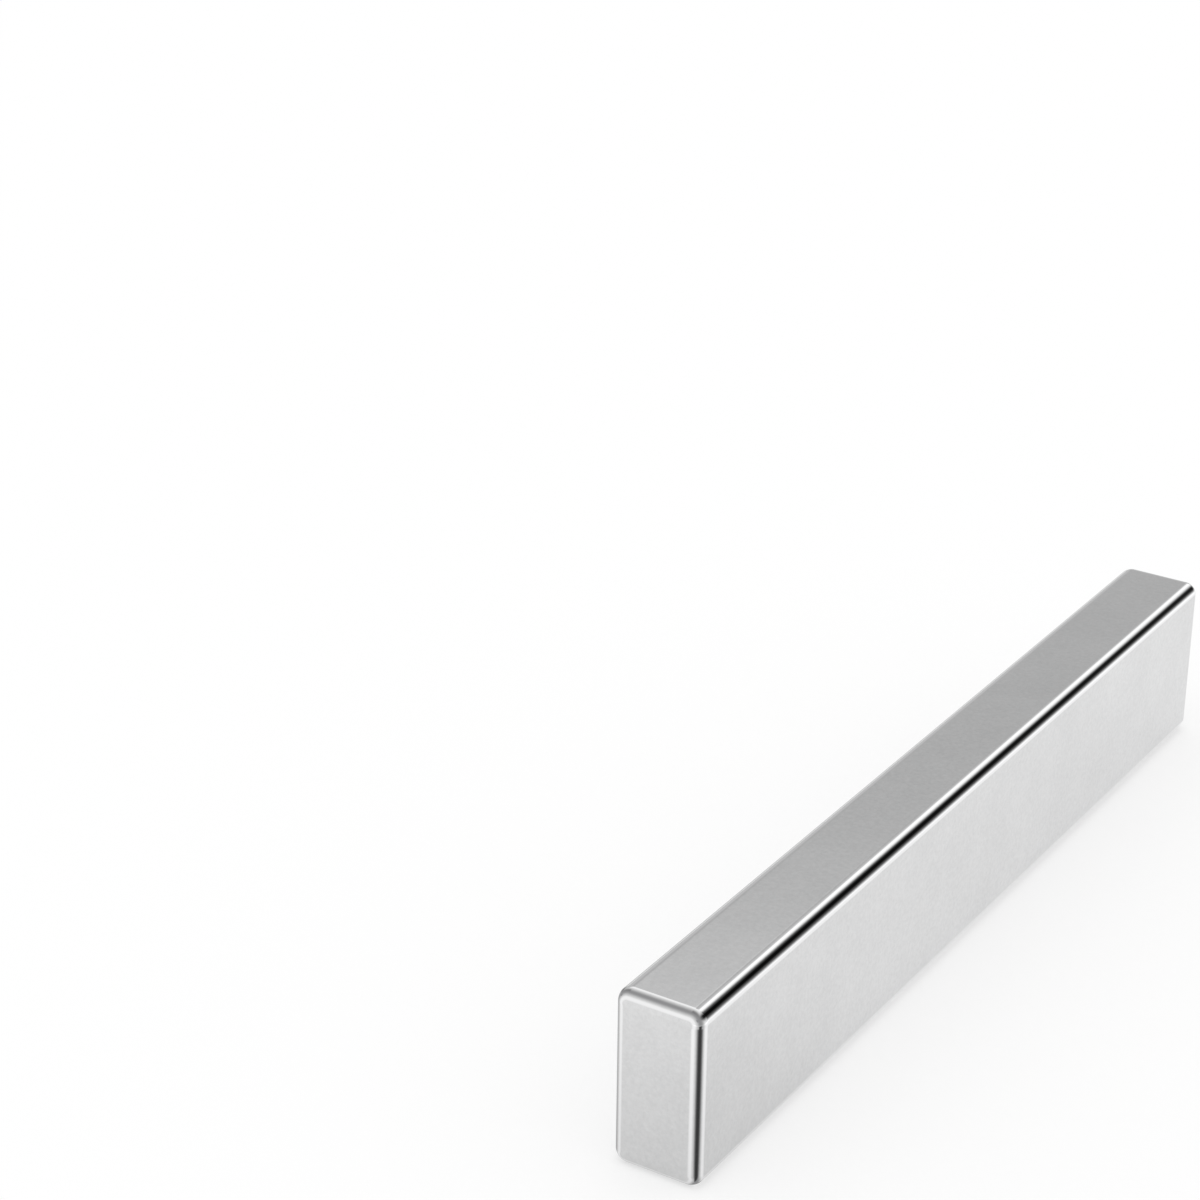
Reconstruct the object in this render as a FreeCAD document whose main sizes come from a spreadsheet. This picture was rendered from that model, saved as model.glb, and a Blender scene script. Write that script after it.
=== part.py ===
"""Block magnet: one bar of sintered magnet material, ground square, tumbled and nickel plated.

The bar lies on one of its narrow faces. Width is along X, length along Y and height along Z,
with the origin under the middle of the bar, on the surface that it rests on.
"""

import FreeCAD, Part
import os

import Sketcher

NODE = "block_magnet"

# Driving dimensions in millimetres
SIZES = {
    "bar_width": 5.0,
    "bar_length": 60.0,
    "bar_height": 10.0,
    "long_edge_radius": 0.8,
    "end_edge_radius": 0.7,
}


def make_sheet(doc):
    """Puts each driving dimension in a row of its own, with its name as alias."""
    sheet = doc.addObject("Spreadsheet::Sheet", "sizes")
    for row, (name, value) in enumerate(SIZES.items(), start=1):
        sheet.set(f"A{row}", name)
        sheet.set(f"B{row}", str(value))
        sheet.setAlias(f"B{row}", name)
    doc.recompute()
    return sheet


def origin_plane(body, role):
    """Finds one of the body's own base planes."""
    return next(item for item in body.Origin.OriginFeatures if item.Role == role)


def draw_section(body):
    """Draws the bar's section across its length: a rectangle that stands on the X axis."""
    sketch = body.newObject("Sketcher::SketchObject", "section")
    sketch.AttachmentSupport = [(origin_plane(body, "XZ_Plane"), "")]
    sketch.MapMode = "FlatFace"

    half_width = SIZES["bar_width"] / 2
    height = SIZES["bar_height"]
    corners = [
        FreeCAD.Vector(-half_width, 0, 0),
        FreeCAD.Vector(half_width, 0, 0),
        FreeCAD.Vector(half_width, height, 0),
        FreeCAD.Vector(-half_width, height, 0),
    ]
    bottom, right, top, left = (
        sketch.addGeometry(Part.LineSegment(corners[side], corners[(side + 1) % 4]), False)
        for side in range(4)
    )

    start, end = 1, 2
    ground_axis, vertical_axis = -1, -2
    sides = [bottom, right, top, left]
    for side, following in zip(sides, sides[1:] + sides[:1]):
        sketch.addConstraint(Sketcher.Constraint("Coincident", side, end, following, start))
    for side in (right, left):
        sketch.addConstraint(Sketcher.Constraint("Vertical", side))
    sketch.addConstraint(Sketcher.Constraint("Horizontal", top))
    sketch.addConstraint(Sketcher.Constraint("Symmetric", bottom, start, bottom, end, vertical_axis))
    sketch.addConstraint(Sketcher.Constraint("PointOnObject", bottom, start, ground_axis))

    width_size = sketch.addConstraint(
        Sketcher.Constraint("DistanceX", bottom, start, bottom, end, SIZES["bar_width"])
    )
    height_size = sketch.addConstraint(
        Sketcher.Constraint("DistanceY", right, start, right, end, SIZES["bar_height"])
    )
    sketch.setExpression(f"Constraints[{width_size}]", "sizes.bar_width")
    sketch.setExpression(f"Constraints[{height_size}]", "sizes.bar_height")
    return sketch


def pad_bar(body, sketch):
    """Draws the section out to the bar's length, half to each side of the origin."""
    bar = body.newObject("PartDesign::Pad", "bar")
    bar.Profile = sketch
    bar.SideType = "Symmetric"
    bar.setExpression("Length", "sizes.bar_length")
    return bar


def long_edges(shape):
    """Names the edges that run along the bar's length: they reach further along Y than across it."""
    names = []
    for number, edge in enumerate(shape.Edges, start=1):
        reach = edge.BoundBox
        if reach.YLength > reach.XLength + reach.ZLength:
            names.append(f"Edge{number}")
    return names


def end_faces(shape):
    """Names the two faces that close the bar's ends: they are wide and high, and thin along Y."""
    names = []
    for number, face in enumerate(shape.Faces, start=1):
        reach = face.BoundBox
        if reach.YLength < min(reach.XLength, reach.ZLength):
            names.append(f"Face{number}")
    return names


def round_edges(body, name, base, picked, radius):
    """Rounds the picked edges, or the borders of the picked faces, as tumbling does."""
    fillet = body.newObject("PartDesign::Fillet", name)
    fillet.Base = (base, picked)
    fillet.setExpression("Radius", f"sizes.{radius}")
    return fillet


def check(doc, bodies):
    """Stops before anything is written if an object failed or a solid is not sound."""
    for item in doc.Objects:
        if "Invalid" in item.State or "Error" in item.State:
            raise RuntimeError(f"{item.Name} failed: {item.State}")
    for body in bodies:
        if body.Shape.isNull() or not body.Shape.isValid():
            raise RuntimeError(f"{body.Label} has no sound shape")
        if len(body.Shape.Solids) != 1:
            raise RuntimeError(f"{body.Label} is not one solid")


def make_magnet(doc):
    """Builds the bar and rounds it: first the four long edges, then the border of each end."""
    body = doc.addObject("PartDesign::Body", "magnet")
    body.Label = NODE
    body.Placement = FreeCAD.Placement()

    section = draw_section(body)
    doc.recompute()
    bar = pad_bar(body, section)
    doc.recompute()
    rounded_bar = round_edges(body, "long_edges", bar, long_edges(bar.Shape), "long_edge_radius")
    doc.recompute()
    round_edges(body, "end_borders", rounded_bar, end_faces(rounded_bar.Shape), "end_edge_radius")
    doc.recompute()
    return body


def main():
    doc = FreeCAD.newDocument("block_magnet")
    make_sheet(doc)
    body = make_magnet(doc)
    check(doc, [body])

    os.makedirs("parts", exist_ok=True)
    body.Shape.exportStep(f"parts/{body.Label}.step")
    box = body.Shape.BoundBox
    print(f"{body.Label}: {box.XLength:.2f} x {box.YLength:.2f} x {box.ZLength:.2f} mm,"
          f" {body.Shape.Volume:.1f} mm3")


main()
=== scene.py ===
"""Block magnet: a bar with tumbled edges and bright nickel plating, in a white photo studio."""

import math

import bmesh
import bpy
from bpy.props import FloatProperty, FloatVectorProperty, IntProperty, PointerProperty
from mathutils import Matrix, Vector


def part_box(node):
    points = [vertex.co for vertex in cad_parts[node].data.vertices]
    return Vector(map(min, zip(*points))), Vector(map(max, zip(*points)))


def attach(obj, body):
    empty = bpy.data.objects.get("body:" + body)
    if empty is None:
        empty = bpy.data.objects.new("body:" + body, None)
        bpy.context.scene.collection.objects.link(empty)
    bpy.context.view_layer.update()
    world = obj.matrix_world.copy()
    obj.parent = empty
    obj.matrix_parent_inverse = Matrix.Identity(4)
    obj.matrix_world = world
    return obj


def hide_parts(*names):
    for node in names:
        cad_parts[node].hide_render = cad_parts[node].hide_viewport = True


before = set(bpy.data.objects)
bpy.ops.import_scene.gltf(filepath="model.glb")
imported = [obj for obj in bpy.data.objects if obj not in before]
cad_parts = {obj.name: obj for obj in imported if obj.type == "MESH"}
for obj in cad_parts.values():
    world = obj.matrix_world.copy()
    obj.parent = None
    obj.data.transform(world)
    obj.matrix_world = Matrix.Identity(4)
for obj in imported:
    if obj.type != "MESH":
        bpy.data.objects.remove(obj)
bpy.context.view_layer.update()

bl_info = {
    "name": "Block Magnet",
    "version": (1, 0, 0),
    "blender": (4, 5, 0),
    "location": "3D View > Sidebar > Magnet",
    "description": "Builds a nickel plated block magnet and the studio that it stands in",
    "category": "Add Mesh",
}

NODE = "block_magnet"
BODY = "root"

BAR_LOW, BAR_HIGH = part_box(NODE)
BAR_SIZE = BAR_HIGH - BAR_LOW
BAR_CENTRE = (BAR_HIGH + BAR_LOW) / 2

EDGE_MARK = "edge_sheen_and_painted_reflection_mark"
LONG_MARK = "along_bar"
QUARTER_TURN = math.pi / 2
EIGHTH_TURN = math.pi / 4

# Bands on a rounded edge, by its mark from 0 on the flats to 1 along the crest: a painted highlight
# on the flanks and a painted dark reflection along the crest
PAINTED_HIGHLIGHT_BAND = (0.12, 0.32, 0.44, 0.64)
END_PAINTED_REFLECTION_BAND = (0.5, 0.97)
LONG_PAINTED_REFLECTION_BAND = (0.56, 0.93)

# Where the painted dark reflection along a long edge's crest fades out at the bar's ends, in shares
# of the end radius
PAINTED_REFLECTION_FADE = (0.2, 0.7)

# Tones of the tent, in degrees to the right of straight behind and in degrees up
LOW_SHADE_SIDES = (-75, -50, -16, -4)
LOW_SHADE_TOP = (28, 39)
HIGH_SHADE_SIDES = (-30, -22, -9, -3)
HIGH_SHADE_TOP = (46, 54)
STRIP_SIDES = (-5, 3, 13, 18)
STRIP_HEIGHTS = (12, 22, 46, 52)
FLAG_LEFT = (16, 26)
FLAG_RIGHT = (46, 54)
FLAG_SLANT = 0.3
FLAG_HEIGHTS = (0, 10, 42, 50)

# Fans on the floor, in degrees from straight ahead to the right, and their fading by reach
WIDE_FAN = (24, 54, 67, 98)
SLIM_FAN = (46, 55, 66, 77)
BRIGHT_BORDER = (-24, 0, 118, 140)
WIDE_FAN_FADE = (0.8, 1)
SLIM_FAN_FADE = (3, 4)

# Where the light of the floor far out starts and is full, in metres
FAR_LIGHT_FROM_BAR = (0.03, 0.09)
FAR_LIGHT_ACROSS = (0.01, 0.05)

SENSOR_WIDTH = 36
NEAREST_SEEN = 0.01
FURTHEST_SEEN = 20


class MagnetShape(bpy.types.PropertyGroup):
    """The bar's form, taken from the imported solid."""

    width: FloatProperty(
        name="Width", description="Thickness between the two broad faces",
        default=BAR_SIZE.x, unit="LENGTH", precision=5,
    )
    length: FloatProperty(
        name="Length", description="Length from end face to end face",
        default=BAR_SIZE.y, unit="LENGTH", precision=5,
    )
    height: FloatProperty(
        name="Height", description="Height from the resting face to the top face",
        default=BAR_SIZE.z, unit="LENGTH", precision=5,
    )
    long_edge_radius: FloatProperty(
        name="Long edge radius", description="Rounding of the four edges along the bar",
        default=0.0008, unit="LENGTH", precision=5,
    )
    end_edge_radius: FloatProperty(
        name="End edge radius", description="Rounding of the border of each end face",
        default=0.0007, unit="LENGTH", precision=5,
    )
    # Moves the painted dark reflection on an end's level borders towards the long faces
    end_painted_line_shift: FloatProperty(
        name="End crest shift",
        description="How far the crest of an end's level borders leans to the long faces",
        default=math.radians(14), unit="ROTATION",
    )
    edge_rows: IntProperty(
        name="Edge rows", description="Rows of faces in each half of a rounded edge",
        default=12, min=2,
    )
    flat_rows: IntProperty(
        name="Flat rows", description="Rows of faces in each half of a flat's short side",
        default=8, min=1,
    )
    length_rows: IntProperty(
        name="Length rows", description="Rows of faces in each half of the bar's length",
        default=48, min=1,
    )
    swell_depth: FloatProperty(
        name="Swell depth", description="How far the ground faces stand off a true plane",
        default=0.0000012, unit="LENGTH", precision=7,
    )
    swell_span: FloatProperty(
        name="Swell span", description="Distance from one swell of the ground faces to the next",
        default=0.009, unit="LENGTH", precision=5,
    )
    seed: IntProperty(name="Seed", description="Which pattern of swells is used", default=8)


class NickelFinish(bpy.types.PropertyGroup):
    """The plating's colour and sheen, with painted highlights and painted dark reflections on its
    edges.
    """

    light_tone: FloatVectorProperty(
        name="Light tone", description="Plating colour where the grain is bright",
        subtype="COLOR", size=3, min=0, max=1, default=(0.735, 0.736, 0.738),
    )
    dark_tone: FloatVectorProperty(
        name="Dark tone", description="Plating colour where the grain is dull",
        subtype="COLOR", size=3, min=0, max=1, default=(0.665, 0.666, 0.669),
    )
    # Painted highlight: a light colour on the flanks of the rounded edges, standing in for bright
    # reflections
    painted_highlight_tone: FloatVectorProperty(
        name="Flank tone", description="Plating colour on the polished flanks of the edges",
        subtype="COLOR", size=3, min=0, max=1, default=(0.87, 0.87, 0.875),
    )
    # Painted dark reflections along the crests of the rounded edges: grey on the end borders, near
    # black on the long edges
    end_crest_painted_reflection: FloatVectorProperty(
        name="End crest tone", description="Plating colour on the dull crest of the end borders",
        subtype="COLOR", size=3, min=0, max=1, default=(0.27, 0.27, 0.275),
    )
    long_crest_painted_reflection: FloatVectorProperty(
        name="Long crest tone", description="Plating colour on the dull crest of the long edges",
        subtype="COLOR", size=3, min=0, max=1, default=(0.006, 0.006, 0.006),
    )
    roughness: FloatProperty(
        name="Roughness", description="Sheen of the flat faces", subtype="FACTOR",
        default=0.12, min=0, max=1,
    )
    edge_roughness: FloatProperty(
        name="Edge roughness", description="Sheen of the tumbled edges", subtype="FACTOR",
        default=0.09, min=0, max=1,
    )
    grain_span: FloatProperty(
        name="Grain span", description="Size of one fleck of the plating's grain",
        default=0.00022, unit="LENGTH", precision=6,
    )
    grain_depth: FloatProperty(
        name="Grain depth", description="Height of the plating's grain",
        default=0.0000003, unit="LENGTH", precision=7,
    )
    cloud_span: FloatProperty(
        name="Cloud span", description="Size of the soft patches in the plating's tone",
        default=0.004, unit="LENGTH", precision=5,
    )


class StudioSetup(bpy.types.PropertyGroup):
    """Camera, floor and the cards that the plating reflects."""

    camera_place: FloatVectorProperty(
        name="Camera place", description="Where the camera stands, in the bar's frame",
        size=3, unit="LENGTH", default=(0.06730, -0.14270, 0.09182),
    )
    camera_azimuth: FloatProperty(
        name="Camera azimuth", description="Angle round the bar that the camera looks from",
        default=math.radians(32.130), unit="ROTATION",
    )
    camera_elevation: FloatProperty(
        name="Camera elevation", description="Angle that the camera looks down by",
        default=math.radians(24.812), unit="ROTATION",
    )
    camera_roll: FloatProperty(
        name="Camera roll", description="Turn of the camera about its own axis",
        default=math.radians(0.680), unit="ROTATION",
    )
    lens: FloatProperty(
        name="Lens", description="Focal length in millimetres on a sensor 36 mm wide",
        default=96.58,
    )
    floor_size: FloatProperty(
        name="Floor size", description="Side of the square floor",
        default=6.0, unit="LENGTH",
    )
    floor_tone: FloatProperty(
        name="Floor tone", description="Whiteness of the floor", subtype="FACTOR",
        default=1.0, min=0, max=1,
    )
    floor_glow: FloatProperty(
        name="Floor glow", description="Share of the floor's white that shadows don't darken",
        subtype="FACTOR", default=0.6, min=0, max=1,
    )
    tent_radius: FloatProperty(
        name="Tent radius", description="Distance of the light tent from the bar",
        default=1.5, unit="LENGTH",
    )
    strip_light: FloatProperty(
        name="Strip light", description="Brightness of the strip light behind", default=1.25, min=0,
    )
    shade_tone: FloatProperty(
        name="Shade tone", description="Darkest tone of the shaded wall behind", default=0.56, min=0,
    )
    flag_tone: FloatProperty(
        name="Flag tone", description="Tone of the grey flag behind", default=0.32, min=0,
    )
    fan_reach: FloatProperty(
        name="Fan reach", description="How far the fans on the floor reach out",
        default=0.019, unit="LENGTH",
    )
    fan_setback: FloatProperty(
        name="Fan setback", description="How far under the bar's corner the fans start",
        default=0.0002, unit="LENGTH", precision=5,
    )
    fan_tone: FloatProperty(
        name="Fan tone", description="Tone of the dark fan on the floor", default=0.16, min=0,
    )
    fan_light: FloatProperty(
        name="Fan light", description="Light added by the fan's bright borders",
        default=0.06, min=0,
    )
    card_lift: FloatProperty(
        name="Card lift", description="Height over the floor of the tones that gloss sees",
        default=0.00005, unit="LENGTH", precision=6,
    )
    shade_reach: FloatProperty(
        name="Shade reach", description="How far the faint shade on the floor reaches",
        default=0.024, unit="LENGTH",
    )
    floor_shade: FloatProperty(
        name="Floor shade", description="Tone of the faint shade at the bar's corner",
        default=0.87, min=0, max=1,
    )
    far_light: FloatProperty(
        name="Far light", description="Light added by the floor far out", default=0.2, min=0,
    )


def add_node(tree, kind, inputs=None, **settings):
    """Adds a node, sets its options and fills its inputs with values or links."""
    made = tree.nodes.new(kind)
    for name, value in settings.items():
        setattr(made, name, value)
    for name, value in (inputs or {}).items():
        if isinstance(value, bpy.types.NodeSocket):
            tree.links.new(value, made.inputs[name])
        else:
            made.inputs[name].default_value = value
    return made


def reckon(tree, operation, *values, clamp=False):
    """Adds one sum to a node tree and gives its result's socket."""
    made = add_node(tree, "ShaderNodeMath", operation=operation, use_clamp=clamp)
    for place, value in enumerate(values):
        if isinstance(value, bpy.types.NodeSocket):
            tree.links.new(value, made.inputs[place])
        else:
            made.inputs[place].default_value = value
    return made.outputs[0]


def soft_step(tree, value, low, high):
    """Rises smoothly from 0 at one value to 1 at another."""
    return add_node(tree, "ShaderNodeMapRange", {
        "Value": value, "From Min": low, "From Max": high,
    }, interpolation_type="SMOOTHSTEP").outputs["Result"]


def soft_window(tree, value, edges):
    """Is 1 between the two middle values and fades to 0 at the two outer ones."""
    rise = soft_step(tree, value, edges[0], edges[1])
    fall = soft_step(tree, value, edges[2], edges[3])
    return reckon(tree, "MULTIPLY", rise, reckon(tree, "SUBTRACT", 1, fall))


def blend(tree, share, before, after):
    """Goes from one value to another as the share goes from 0 to 1."""
    step = reckon(tree, "SUBTRACT", after, before)
    return reckon(tree, "MULTIPLY_ADD", step, share, before)


def add_sockets(tree, direction, sockets):
    """Gives a node group its named inputs or outputs."""
    for name, kind in sockets:
        tree.interface.new_socket(name=name, in_out=direction, socket_type=f"NodeSocket{kind}")


def row_spacing_group():
    """Spreads evenly numbered rows over one side of the bar, from -1 and 1 at its two borders.

    Rows draw closer together towards the end of the flat, and split the rounding into equal angles.
    """
    tree = bpy.data.node_groups.new("row_spacing", "GeometryNodeTree")
    add_sockets(tree, "INPUT", [("Row", "Float"), ("Side", "Float"), ("Radius", "Float"),
                                ("Flat Share", "Float")])
    add_sockets(tree, "OUTPUT", [("Place", "Float")])
    given = tree.nodes.new("NodeGroupInput").outputs

    half_flat = reckon(tree, "SUBTRACT", reckon(tree, "DIVIDE", given["Side"], 2), given["Radius"])
    row = reckon(tree, "ABSOLUTE", given["Row"])
    flat_part = reckon(tree, "DIVIDE", row, given["Flat Share"], clamp=True)
    edge_share = reckon(tree, "SUBTRACT", 1, given["Flat Share"])
    past_flat = reckon(tree, "SUBTRACT", row, given["Flat Share"])
    edge_part = reckon(tree, "DIVIDE", past_flat, edge_share, clamp=True)

    on_flat = reckon(tree, "SINE", reckon(tree, "MULTIPLY", flat_part, QUARTER_TURN))
    on_edge = reckon(tree, "TANGENT", reckon(tree, "MULTIPLY", edge_part, EIGHTH_TURN))
    reach = reckon(tree, "MULTIPLY_ADD", on_flat, half_flat,
                   reckon(tree, "MULTIPLY", on_edge, given["Radius"]))
    place = reckon(tree, "MULTIPLY", reach, reckon(tree, "SIGN", given["Row"]))
    tree.links.new(place, tree.nodes.new("NodeGroupOutput").inputs["Place"])
    return tree


def spaced_row(tree, spacing, row, side, radius, flat_share):
    """Places one coordinate of the block's rows."""
    inputs = {"Row": row, "Side": side, "Radius": radius, "Flat Share": flat_share}
    return add_node(tree, "GeometryNodeGroup", inputs, node_tree=spacing).outputs["Place"]


def share_of_rows(tree, flat_rows, edge_rows):
    """The part of one half's rows that lies on the flat."""
    return reckon(tree, "DIVIDE", flat_rows, reckon(tree, "ADD", flat_rows, edge_rows))


def row_count(tree, flat_rows, edge_rows):
    """Vertices along one side: both halves' rows and the last line."""
    return reckon(tree, "MULTIPLY_ADD", reckon(tree, "ADD", flat_rows, edge_rows), 2, 1)


def offset_length(tree, first, second):
    """Length of the two-part offset, kept off zero so that it can divide."""
    squares = reckon(tree, "MULTIPLY_ADD", first, first, reckon(tree, "MULTIPLY", second, second))
    return reckon(tree, "MAXIMUM", reckon(tree, "SQRT", squares), 1e-12)


def crest_mark(tree, first, second, crest):
    """Falls from 1 at the crest's angle to 0 an eighth of a turn away from it."""
    turn = reckon(tree, "ARCTAN2", first, second)
    away = reckon(tree, "ABSOLUTE", reckon(tree, "SUBTRACT", turn, crest))
    return reckon(tree, "SUBTRACT", 1, reckon(tree, "DIVIDE", away, EIGHTH_TURN), clamp=True)


def rounded_bar_tree():
    """Makes a block, rounds its section and then rolls the border of each end over."""
    tree = bpy.data.node_groups.new("rounded_bar", "GeometryNodeTree")
    add_sockets(tree, "INPUT", [
        ("Geometry", "Geometry"), ("Width", "Float"), ("Length", "Float"), ("Height", "Float"),
        ("Long Edge Radius", "Float"), ("End Edge Radius", "Float"), ("Edge Rows", "Int"),
        ("Flat Rows", "Int"), ("Length Rows", "Int"), ("Swell Depth", "Float"),
        ("Swell Span", "Float"), ("Seed", "Int"), ("Centre Height", "Float"),
        ("End Painted Line Shift", "Float"),
        ("Plating", "Material"),
    ])
    add_sockets(tree, "OUTPUT", [("Geometry", "Geometry")])
    given = tree.nodes.new("NodeGroupInput").outputs
    width, length, height = given["Width"], given["Length"], given["Height"]
    long_radius, end_radius = given["Long Edge Radius"], given["End Edge Radius"]

    # Block of unit rows
    short_count = row_count(tree, given["Flat Rows"], given["Edge Rows"])
    long_count = row_count(tree, given["Length Rows"], given["Edge Rows"])
    block = add_node(tree, "GeometryNodeMeshCube", {
        "Size": (2, 2, 2), "Vertices X": short_count, "Vertices Y": long_count,
        "Vertices Z": short_count,
    }).outputs["Mesh"]

    # Rows spread over the true sides
    rows = add_node(tree, "ShaderNodeSeparateXYZ",
                    {"Vector": add_node(tree, "GeometryNodeInputPosition").outputs[0]}).outputs
    spacing = row_spacing_group()
    short_share = share_of_rows(tree, given["Flat Rows"], given["Edge Rows"])
    long_share = share_of_rows(tree, given["Length Rows"], given["Edge Rows"])
    across = spaced_row(tree, spacing, rows["X"], width, long_radius, short_share)
    along = spaced_row(tree, spacing, rows["Y"], length, end_radius, long_share)
    upward = spaced_row(tree, spacing, rows["Z"], height, long_radius, short_share)

    # Offset from the flat part of the section, and depth under its outline
    section = []
    for place, side in ((across, width), (upward, height)):
        flat_end = reckon(tree, "SUBTRACT", reckon(tree, "DIVIDE", side, 2), long_radius)
        past = reckon(tree, "SUBTRACT", reckon(tree, "ABSOLUTE", place), flat_end)
        past = reckon(tree, "MAXIMUM", past, 0)
        signed = reckon(tree, "MULTIPLY", past, reckon(tree, "SIGN", place))
        under = reckon(tree, "SUBTRACT", reckon(tree, "DIVIDE", side, 2),
                       reckon(tree, "ABSOLUTE", place))
        section.append((signed, past, reckon(tree, "SUBTRACT", place, signed), under))
    (out_x, past_x, flat_x, under_x), (out_z, past_z, flat_z, under_z) = section
    depth = reckon(tree, "MAXIMUM", reckon(tree, "MINIMUM", under_x, under_z), 0)
    from_end = reckon(tree, "SUBTRACT", reckon(tree, "DIVIDE", length, 2),
                      reckon(tree, "ABSOLUTE", along))
    from_end = reckon(tree, "MAXIMUM", from_end, 0)

    # Quarter round between the outline and the end face
    short_of_outline = reckon(tree, "MAXIMUM", reckon(tree, "SUBTRACT", end_radius, depth), 0)
    short_of_end = reckon(tree, "MAXIMUM", reckon(tree, "SUBTRACT", end_radius, from_end), 0)
    furthest = reckon(tree, "MAXIMUM", short_of_outline, short_of_end)
    roll = reckon(tree, "DIVIDE", furthest, offset_length(tree, short_of_outline, short_of_end))
    rolled_depth = reckon(tree, "ADD", depth, reckon(
        tree, "MULTIPLY", short_of_outline, reckon(tree, "SUBTRACT", 1, roll)))
    rolled_end = reckon(tree, "ADD", from_end, reckon(
        tree, "MULTIPLY", short_of_end, reckon(tree, "SUBTRACT", 1, roll)))

    # Point on the rounded section at that depth
    outward = offset_length(tree, out_x, out_z)
    reach = reckon(tree, "SUBTRACT", long_radius, rolled_depth)
    has_offset = reckon(tree, "GREATER_THAN", reckon(tree, "MAXIMUM", past_x, past_z), 0)
    places = []
    for flat, out in ((flat_x, out_x), (flat_z, out_z)):
        push = reckon(tree, "DIVIDE", reckon(tree, "MULTIPLY", out, reach), outward)
        places.append(reckon(tree, "MULTIPLY_ADD", push, has_offset, flat))
    end_place = reckon(tree, "SUBTRACT", reckon(tree, "DIVIDE", length, 2), rolled_end)
    end_place = reckon(tree, "MULTIPLY", end_place, reckon(tree, "SIGN", along))
    raised = reckon(tree, "ADD", places[1], given["Centre Height"])
    target = add_node(tree, "ShaderNodeCombineXYZ", {"X": places[0], "Y": end_place, "Z": raised})

    # Marks for the plating: how near the crest of a rounding, and whether it runs along the bar; they
    # place the edges' roughness and their painted highlights and painted dark reflections
    on_side = reckon(tree, "LESS_THAN", depth, reckon(tree, "MULTIPLY", long_radius, 0.001))
    on_corner = reckon(tree, "GREATER_THAN", reckon(tree, "MINIMUM", past_x, past_z), 0)
    long_mark = crest_mark(tree, past_x, past_z, EIGHTH_TURN)
    long_mark = reckon(tree, "MULTIPLY", long_mark, reckon(tree, "MULTIPLY", on_side, on_corner))
    level = reckon(tree, "DIVIDE", past_z, offset_length(tree, past_x, past_z))
    shift = reckon(tree, "MULTIPLY", level, given["End Painted Line Shift"])
    crest = reckon(tree, "SUBTRACT", EIGHTH_TURN, shift)
    on_border = reckon(tree, "GREATER_THAN",
                       reckon(tree, "MINIMUM", short_of_outline, short_of_end), 0)
    end_mark = crest_mark(tree, short_of_end, short_of_outline, crest)
    end_mark = reckon(tree, "MULTIPLY", end_mark, on_border)
    mark = reckon(tree, "MAXIMUM", long_mark, end_mark, clamp=True)
    into_end = soft_step(tree, reckon(tree, "DIVIDE", short_of_end, end_radius), *PAINTED_REFLECTION_FADE)
    along_bar = reckon(tree, "MULTIPLY", on_corner, reckon(tree, "SUBTRACT", 1, into_end))
    marked = block
    for name, value in ((EDGE_MARK, mark), (LONG_MARK, along_bar)):
        marked = add_node(tree, "GeometryNodeStoreNamedAttribute", {
            "Geometry": marked, "Name": name, "Value": value,
        }, data_type="FLOAT", domain="POINT").outputs["Geometry"]
    rounded = add_node(tree, "GeometryNodeSetPosition", {
        "Geometry": marked, "Position": target.outputs["Vector"],
    }).outputs["Geometry"]

    # Slow swells that grinding leaves in the faces
    swell = add_node(tree, "ShaderNodeTexNoise", {
        "Vector": add_node(tree, "GeometryNodeInputPosition").outputs[0],
        "W": given["Seed"], "Scale": reckon(tree, "DIVIDE", 1, given["Swell Span"]),
        "Detail": 1.0,
    }, noise_dimensions="4D").outputs[0]
    rise = reckon(tree, "MULTIPLY", reckon(tree, "SUBTRACT", swell, 0.5), given["Swell Depth"])
    normal = add_node(tree, "GeometryNodeInputNormal").outputs["Normal"]
    offset = add_node(tree, "ShaderNodeVectorMath", {0: normal}, operation="SCALE")
    tree.links.new(rise, offset.inputs["Scale"])
    swollen = add_node(tree, "GeometryNodeSetPosition", {
        "Geometry": rounded, "Offset": offset.outputs["Vector"],
    }).outputs["Geometry"]

    smooth = add_node(tree, "GeometryNodeSetShadeSmooth", {"Geometry": swollen})
    realised = add_node(tree, "GeometryNodeRealizeInstances",
                        {"Geometry": smooth.outputs["Geometry"]})
    plated = add_node(tree, "GeometryNodeSetMaterial", {
        "Geometry": realised.outputs["Geometry"], "Material": given["Plating"],
    })
    tree.links.new(plated.outputs["Geometry"], tree.nodes.new("NodeGroupOutput").inputs[0])
    return tree


def grown_mesh(name, tree, values):
    """Grows a node tree on an empty mesh and keeps the result as a plain object."""
    host = bpy.data.objects.new(name, bpy.data.meshes.new(f"{name}_seed"))
    bpy.context.scene.collection.objects.link(host)
    grow = host.modifiers.new("grow", "NODES")
    grow.node_group = tree
    sockets = {item.name: item.identifier for item in tree.interface.items_tree
               if item.in_out == "INPUT"}
    for label, value in values.items():
        grow[sockets[label]] = value
    graph = bpy.context.evaluated_depsgraph_get()
    host.data = bpy.data.meshes.new_from_object(host.evaluated_get(graph), depsgraph=graph)
    host.data.name = name
    host.modifiers.remove(grow)
    return host


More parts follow.
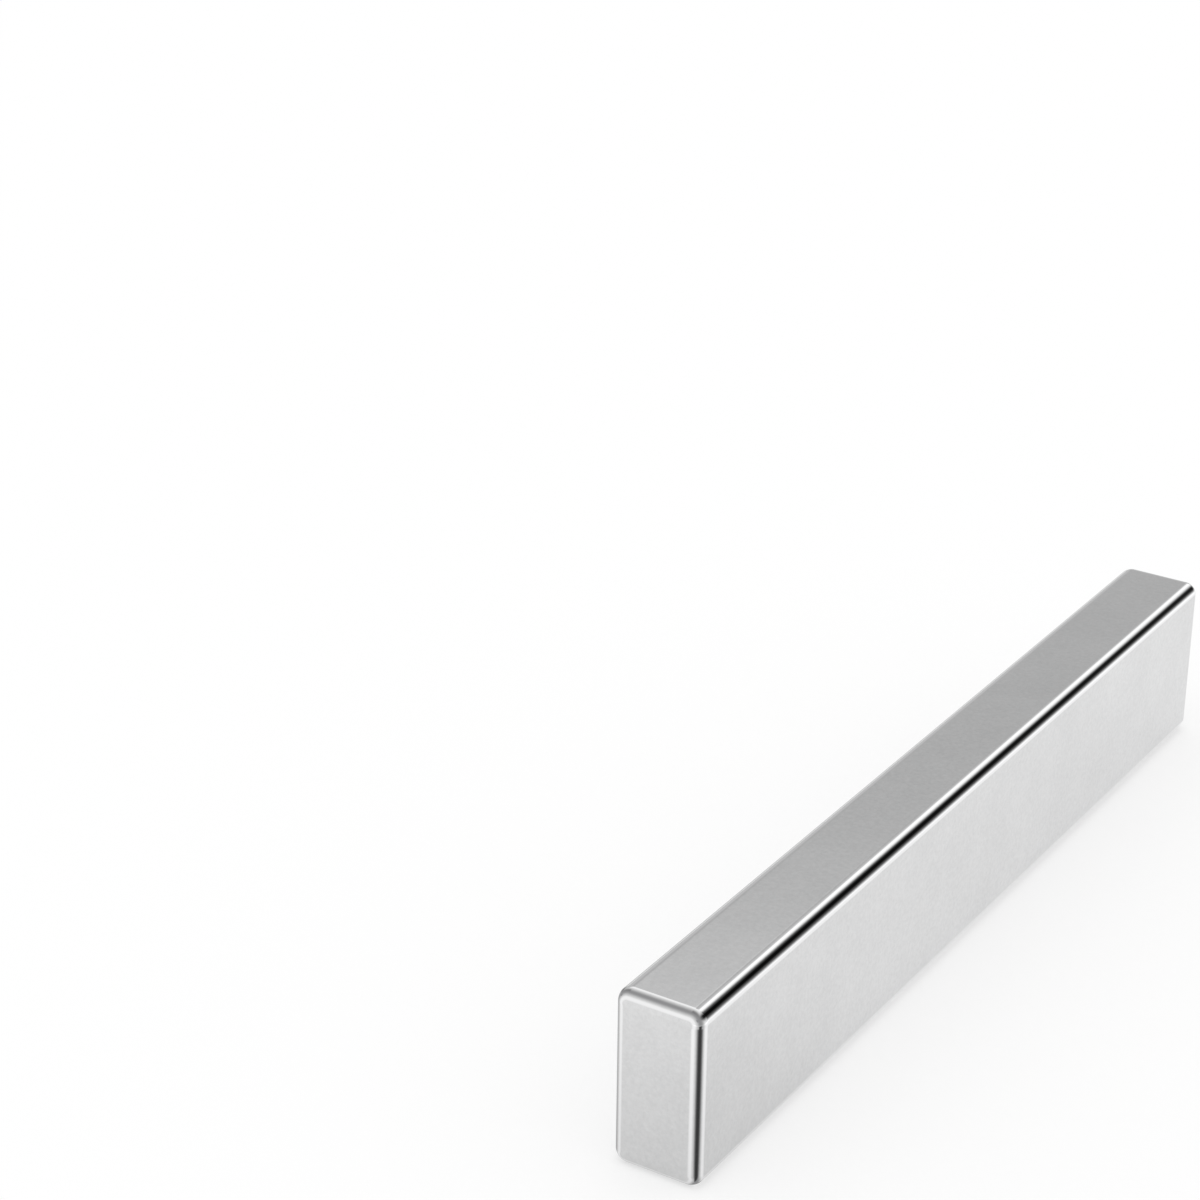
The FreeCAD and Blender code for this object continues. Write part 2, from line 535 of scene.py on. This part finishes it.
def nickel_material(finish):
    """Nickel with a fine grain and soft clouds, a painted highlight on the flanks of its edges and a
    painted dark reflection along their crests.
    """
    material = bpy.data.materials.new("bright_nickel_plating")
    material.use_nodes = True
    tree = material.node_tree
    shader = tree.nodes["Principled BSDF"]
    shader.inputs["Metallic"].default_value = 1.0

    place = add_node(tree, "ShaderNodeTexCoord").outputs["Object"]
    grain = add_node(tree, "ShaderNodeTexNoise", {
        "Vector": place, "Scale": 1 / finish.grain_span, "Detail": 3.0, "Roughness": 0.6,
    }).outputs["Fac"]
    cloud = add_node(tree, "ShaderNodeTexNoise", {
        "Vector": place, "Scale": 1 / finish.cloud_span, "Detail": 2.0,
    }).outputs["Fac"]
    edge = add_node(tree, "ShaderNodeAttribute", attribute_name=EDGE_MARK).outputs["Fac"]

    fleck = add_node(tree, "ShaderNodeMapRange", {
        "Value": reckon(tree, "MULTIPLY_ADD", cloud, 0.35, reckon(tree, "MULTIPLY", grain, 0.65)),
        "From Min": 0.35, "From Max": 0.65,
    }).outputs["Result"]
    colour = mixed_colour(tree, fleck, finish.dark_tone, finish.light_tone)

    # Painted highlight on the flanks and painted dark reflection along the crest of each tumbled edge
    flank = soft_window(tree, edge, PAINTED_HIGHLIGHT_BAND)
    colour = mixed_colour(tree, flank, colour, finish.painted_highlight_tone)
    along_bar = add_node(tree, "ShaderNodeAttribute", attribute_name=LONG_MARK).outputs["Fac"]
    painted_reflection_band = [blend(tree, along_bar, end, long)
                  for end, long in zip(END_PAINTED_REFLECTION_BAND, LONG_PAINTED_REFLECTION_BAND)]
    crest = soft_step(tree, edge, *painted_reflection_band)
    painted_reflection_tone = mixed_colour(tree, along_bar, finish.end_crest_painted_reflection, finish.long_crest_painted_reflection)
    colour = mixed_colour(tree, crest, colour, painted_reflection_tone)
    tree.links.new(colour, shader.inputs["Base Color"])

    sheen = add_node(tree, "ShaderNodeMapRange", {
        "Value": edge, "To Min": finish.roughness, "To Max": finish.edge_roughness,
    }).outputs["Result"]
    sheen = reckon(tree, "MULTIPLY", sheen, reckon(tree, "MULTIPLY_ADD", grain, 0.3, 0.85))
    tree.links.new(sheen, shader.inputs["Roughness"])

    bump = add_node(tree, "ShaderNodeBump", {
        "Height": grain, "Strength": 1.0, "Distance": finish.grain_depth,
    })
    tree.links.new(bump.outputs["Normal"], shader.inputs["Normal"])
    return material


def mixed_colour(tree, share, before, after):
    """Goes from one colour to another, each given as a value or a socket."""
    mix = add_node(tree, "ShaderNodeMix", data_type="RGBA")
    tree.links.new(share, mix.inputs["Factor"])
    sockets = {socket.name: socket for socket in mix.inputs if socket.type == "RGBA"}
    for name, colour in (("A", before), ("B", after)):
        if isinstance(colour, bpy.types.NodeSocket):
            tree.links.new(colour, sockets[name])
        else:
            sockets[name].default_value = (*colour, 1)
    return next(socket for socket in mix.outputs if socket.type == "RGBA")


def plain_material(name, tone, glows=False):
    """A matt or a glowing surface of one grey for the studio."""
    material = bpy.data.materials.new(name)
    material.use_nodes = True
    tree = material.node_tree
    tree.nodes.clear()
    kind = "ShaderNodeEmission" if glows else "ShaderNodeBsdfDiffuse"
    shader = add_node(tree, kind, {"Color": (tone, tone, tone, 1)})
    output = tree.nodes.new("ShaderNodeOutputMaterial")
    tree.links.new(shader.outputs[0], output.inputs["Surface"])
    material.cycles.emission_sampling = "NONE"
    return material


def stage_object(name, mesh, material):
    """Adds a piece of the studio, which is no part of the magnet."""
    made = bpy.data.objects.new(name, mesh)
    mesh.materials.append(material)
    bpy.context.scene.collection.objects.link(made)
    return made


def make_floor(studio):
    """A wide white floor that keeps the bar's soft shadow."""
    mesh = bpy.data.meshes.new("floor")
    half = studio.floor_size / 2
    corners = [(-half, -half, 0), (half, -half, 0), (half, half, 0), (-half, half, 0)]
    mesh.from_pydata(corners, [], [(0, 1, 2, 3)])
    material = plain_material("floor_white", studio.floor_tone)
    tree = material.node_tree
    matt = next(item for item in tree.nodes if item.type == "BSDF_DIFFUSE")
    glow = add_node(tree, "ShaderNodeEmission", {"Color": (1, 1, 1, 1)})
    mix = add_node(tree, "ShaderNodeMixShader", {0: studio.floor_glow})
    tree.links.new(matt.outputs[0], mix.inputs[1])
    tree.links.new(glow.outputs[0], mix.inputs[2])
    output = next(item for item in tree.nodes if item.type == "OUTPUT_MATERIAL")
    tree.links.new(mix.outputs[0], output.inputs["Surface"])
    return stage_object("floor", mesh, material)


def only_reflected(card):
    """Keeps a card out of the picture, the shadows and the floor's light: only gloss sees it."""
    card.visible_camera = False
    card.visible_diffuse = False
    card.visible_shadow = False
    card.visible_transmission = False
    return card


def tent_material(studio):
    """Tones of the light tent by direction: white, with a shade, a strip light and a flag behind."""
    material = plain_material("light_tent", 1.0, glows=True)
    tree = material.node_tree
    place = add_node(tree, "ShaderNodeTexCoord").outputs["Object"]
    way = add_node(tree, "ShaderNodeVectorMath", {0: place}, operation="NORMALIZE")
    axes = add_node(tree, "ShaderNodeSeparateXYZ", {"Vector": way.outputs["Vector"]}).outputs
    height = reckon(tree, "DEGREES", reckon(tree, "ARCSINE", axes["Z"]))
    side = reckon(tree, "DEGREES", reckon(tree, "ARCTAN2", axes["X"], axes["Y"]))

    # Shade that falls off towards the floor, behind the bar and to its left
    low_shade = reckon(tree, "MULTIPLY", soft_window(tree, side, LOW_SHADE_SIDES),
                       reckon(tree, "SUBTRACT", 1, soft_step(tree, height, *LOW_SHADE_TOP)))
    high_shade = reckon(tree, "MULTIPLY", soft_window(tree, side, HIGH_SHADE_SIDES),
                        reckon(tree, "SUBTRACT", 1, soft_step(tree, height, *HIGH_SHADE_TOP)))
    tone = blend(tree, reckon(tree, "MAXIMUM", low_shade, high_shade), 1.0, studio.shade_tone)

    # Strip light straight behind
    strip = reckon(tree, "MULTIPLY", soft_window(tree, side, STRIP_SIDES),
                   soft_window(tree, height, STRIP_HEIGHTS))
    tone = blend(tree, strip, tone, studio.strip_light)

    # Grey flag behind and to the right
    slant = reckon(tree, "MULTIPLY_ADD", height, FLAG_SLANT, side)
    flag = reckon(tree, "MULTIPLY", soft_step(tree, side, *FLAG_LEFT),
                  reckon(tree, "SUBTRACT", 1, soft_step(tree, slant, *FLAG_RIGHT)))
    flag = reckon(tree, "MULTIPLY", flag, soft_window(tree, height, FLAG_HEIGHTS))
    tone = blend(tree, flag, tone, studio.flag_tone)

    glow = next(item for item in tree.nodes if item.type == "EMISSION")
    tree.links.new(tone, glow.inputs["Strength"])
    return material


def make_tent(studio):
    """A dome round the bar that only its plating reflects."""
    mesh = bpy.data.meshes.new("light_tent")
    form = bmesh.new()
    bmesh.ops.create_uvsphere(form, u_segments=96, v_segments=48, radius=studio.tent_radius)
    under = [corner for corner in form.verts if corner.co.z < -0.05 * studio.tent_radius]
    bmesh.ops.delete(form, geom=under, context="VERTS")
    form.to_mesh(mesh)
    form.free()
    only_reflected(stage_object("light_tent", mesh, tent_material(studio)))


def fan(tree, axes, corner, edges):
    """Is 1 inside a fan on the floor, by its angles round a corner, and gives the way from there."""
    right = reckon(tree, "SUBTRACT", axes["X"], corner[0])
    front = reckon(tree, "SUBTRACT", corner[1], axes["Y"])
    turn = reckon(tree, "DEGREES", reckon(tree, "ARCTAN2", right, front))
    far = reckon(tree, "SQRT", reckon(tree, "MULTIPLY_ADD", right, right,
                                      reckon(tree, "MULTIPLY", front, front)))
    return soft_window(tree, turn, edges), far


def fan_fade(tree, far, reach, shares):
    """Falls from 1 to 0 between two shares of the fan's reach."""
    low, high = (reach * share for share in shares)
    return reckon(tree, "SUBTRACT", 1, soft_step(tree, far, low, high))


def make_floor_card(studio):
    """Tones on the floor that only the plating sees.

    A dark fan with bright borders starts at the near right corner, where the upright edge shows
    it as a dark line with highlights. A faint shade lies round it, and the floor far out to the
    right is a little brighter.
    """
    mesh = bpy.data.meshes.new("floor_card")
    reach = studio.tent_radius * 0.95
    points = [(x * reach, y * reach, studio.card_lift)
              for x, y in ((-1, -1), (1, -1), (1, 1), (-1, 1))]
    mesh.from_pydata(points, [], [(0, 1, 2, 3)])

    material = plain_material("floor_card", 1.0, glows=True)
    tree = material.node_tree
    place = add_node(tree, "ShaderNodeTexCoord").outputs["Object"]
    axes = add_node(tree, "ShaderNodeSeparateXYZ", {"Vector": place}).outputs
    corner = (BAR_HIGH.x - studio.fan_setback, BAR_LOW.y + studio.fan_setback)

    wide, far = fan(tree, axes, corner, WIDE_FAN)
    near = fan_fade(tree, far, studio.fan_reach, WIDE_FAN_FADE)
    slim, far = fan(tree, axes, corner, SLIM_FAN)
    within = fan_fade(tree, far, studio.fan_reach, SLIM_FAN_FADE)
    black = reckon(tree, "MAXIMUM", reckon(tree, "MULTIPLY", wide, near),
                   reckon(tree, "MULTIPLY", slim, within))
    border, far = fan(tree, axes, corner, BRIGHT_BORDER)
    bright = reckon(tree, "MULTIPLY", border, near)
    bright = reckon(tree, "MULTIPLY", bright, reckon(tree, "SUBTRACT", 1, black))
    light = reckon(tree, "MULTIPLY", bright, studio.fan_light)

    outside = []
    for axis, low, high in (("X", BAR_LOW.x, BAR_HIGH.x), ("Y", BAR_LOW.y, BAR_HIGH.y)):
        offset = reckon(tree, "ABSOLUTE", reckon(tree, "SUBTRACT", axes[axis], (low + high) / 2))
        outside.append(reckon(tree, "MAXIMUM", reckon(tree, "SUBTRACT", offset, (high - low) / 2), 0))
    from_bar = offset_length(tree, *outside)
    yonder = reckon(tree, "MULTIPLY", soft_step(tree, from_bar, *FAR_LIGHT_FROM_BAR),
                    soft_step(tree, axes["X"], *FAR_LIGHT_ACROSS))
    yonder = reckon(tree, "MULTIPLY", yonder, reckon(tree, "SUBTRACT", 1, black))
    light = reckon(tree, "MULTIPLY_ADD", yonder, studio.far_light, light)

    shade = blend(tree, soft_step(tree, far, 0, studio.shade_reach), studio.floor_shade, 1.0)
    seen = reckon(tree, "MULTIPLY", blend(tree, black, 1.0, studio.fan_tone), shade)
    clear = add_node(tree, "ShaderNodeBsdfTransparent")
    tree.links.new(add_node(tree, "ShaderNodeCombineColor", {
        "Red": seen, "Green": seen, "Blue": seen}).outputs["Color"], clear.inputs["Color"])
    glow = next(item for item in tree.nodes if item.type == "EMISSION")
    tree.links.new(light, glow.inputs["Strength"])
    both = add_node(tree, "ShaderNodeAddShader")
    tree.links.new(clear.outputs[0], both.inputs[0])
    tree.links.new(glow.outputs[0], both.inputs[1])
    output = next(item for item in tree.nodes if item.type == "OUTPUT_MATERIAL")
    tree.links.new(both.outputs[0], output.inputs["Surface"])
    only_reflected(stage_object("floor_card", mesh, material))


def direction(azimuth, elevation):
    """The way from the bar to a viewer at that azimuth and elevation."""
    level = math.cos(elevation)
    return Vector((math.sin(azimuth) * level, -math.cos(azimuth) * level, math.sin(elevation)))


def make_world():
    """Even white light from all round."""
    world = bpy.data.worlds.new("white_tent")
    bpy.context.scene.world = world
    world.use_nodes = True
    world.node_tree.nodes["Background"].inputs["Color"].default_value = (1, 1, 1, 1)
    world.node_tree.nodes["Background"].inputs["Strength"].default_value = 1.0


def make_camera(studio):
    """A long lens at the photograph's place and angle, without shift or blur."""
    camera = bpy.data.objects.new("camera", bpy.data.cameras.new("camera"))
    camera.data.lens = studio.lens
    camera.data.sensor_width = SENSOR_WIDTH
    camera.data.clip_start = NEAREST_SEEN
    camera.data.clip_end = FURTHEST_SEEN
    forward = -direction(studio.camera_azimuth, studio.camera_elevation)
    aim = forward.to_track_quat("-Z", "Y").to_matrix()
    turn = Matrix.Rotation(studio.camera_roll, 3, "Z")
    camera.matrix_world = Matrix.Translation(studio.camera_place) @ (aim @ turn).to_4x4()
    bpy.context.scene.collection.objects.link(camera)
    bpy.context.scene.camera = camera


class MAGNET_OT_bar(bpy.types.Operator):
    """Builds the plated bar in place of the plain solid"""

    bl_idname = "magnet.bar"
    bl_label = "Plated bar"

    def execute(self, context):
        shape = context.scene.magnet_shape
        plating = nickel_material(context.scene.nickel_finish)
        bar = grown_mesh("plated_bar", rounded_bar_tree(), {
            "Width": shape.width, "Length": shape.length, "Height": shape.height,
            "Long Edge Radius": shape.long_edge_radius, "End Edge Radius": shape.end_edge_radius,
            "Edge Rows": shape.edge_rows, "Flat Rows": shape.flat_rows,
            "Length Rows": shape.length_rows, "Swell Depth": shape.swell_depth,
            "Swell Span": shape.swell_span, "Seed": shape.seed,
            "Centre Height": BAR_CENTRE.z, "End Painted Line Shift": shape.end_painted_line_shift,
            "Plating": plating,
        })
        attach(bar, BODY)
        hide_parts(NODE)
        return {"FINISHED"}


class MAGNET_OT_stage(bpy.types.Operator):
    """Sets up the floor, the reflected cards, the light and the camera"""

    bl_idname = "magnet.stage"
    bl_label = "Studio stage"

    def execute(self, context):
        studio = context.scene.magnet_studio
        make_world()
        make_floor(studio)
        make_tent(studio)
        make_floor_card(studio)
        make_camera(studio)
        context.scene.view_settings.view_transform = "Standard"
        return {"FINISHED"}


class MAGNET_PT_sidebar(bpy.types.Panel):
    """Lists the magnet's steps in the 3D view's sidebar"""

    bl_label = "Block Magnet"
    bl_idname = "MAGNET_PT_sidebar"
    bl_space_type = "VIEW_3D"
    bl_region_type = "UI"
    bl_category = "Magnet"

    def draw(self, context):
        for step in (MAGNET_OT_bar, MAGNET_OT_stage):
            self.layout.operator(step.bl_idname)


GROUPS = {
    "magnet_shape": MagnetShape,
    "nickel_finish": NickelFinish,
    "magnet_studio": StudioSetup,
}
CLASSES = (*GROUPS.values(), MAGNET_OT_bar, MAGNET_OT_stage, MAGNET_PT_sidebar)


def register():
    for item in CLASSES:
        bpy.utils.register_class(item)
    for name, group in GROUPS.items():
        setattr(bpy.types.Scene, name, PointerProperty(type=group))


def unregister():
    for name in GROUPS:
        delattr(bpy.types.Scene, name)
    for item in reversed(CLASSES):
        bpy.utils.unregister_class(item)


def main():
    register()
    bpy.ops.magnet.bar()
    bpy.ops.magnet.stage()


if __name__ == "__main__":
    main()
